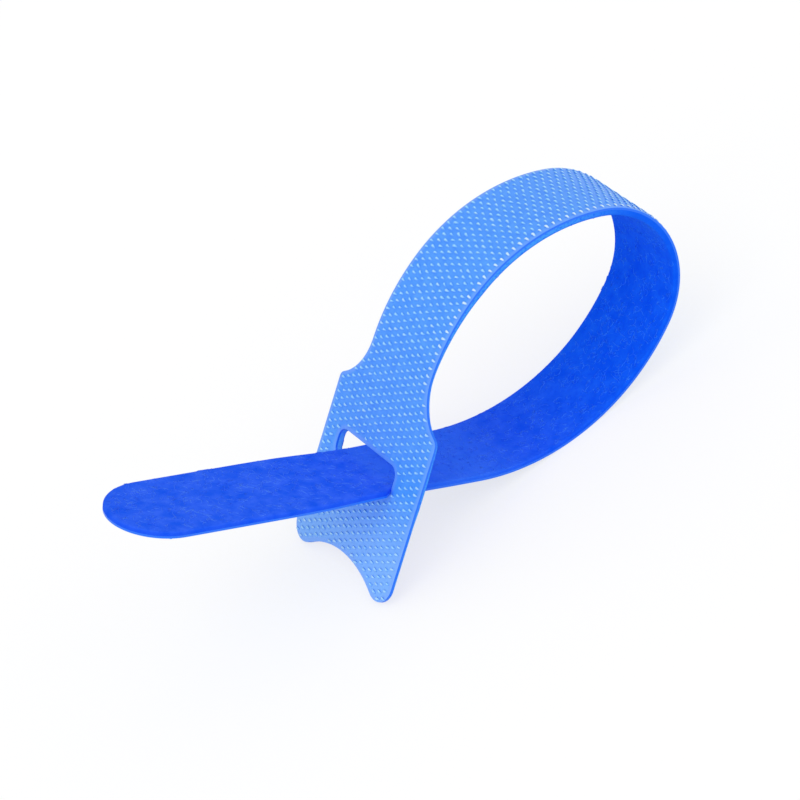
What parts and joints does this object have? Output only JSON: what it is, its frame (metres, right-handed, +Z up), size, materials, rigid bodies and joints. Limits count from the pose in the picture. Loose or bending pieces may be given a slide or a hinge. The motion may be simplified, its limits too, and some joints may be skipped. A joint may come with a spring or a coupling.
{
  "type": "cable tie",
  "caption": "Reusable hook-and-loop cable tie with a fishtail head, closed into a loop through its own slot with the round tail standing free.",
  "frame": {"origin": "centre of the bounding box at its base, on the surface that the closed tie rests on", "axes": "+X along the profile towards the loop's nose, with the free tail at -X; +Y across the strap; +Z up"},
  "size_m": [0.068, 0.0196, 0.0256],
  "materials": {
    "hook_tape": "moulded hooks, satin",
    "loop_tape": "brushed loops"
  },
  "bodies": {
    "root": {"hook_tape": "hook_tape", "loop_tape": "loop_tape"}
  },
  "joints": []
}
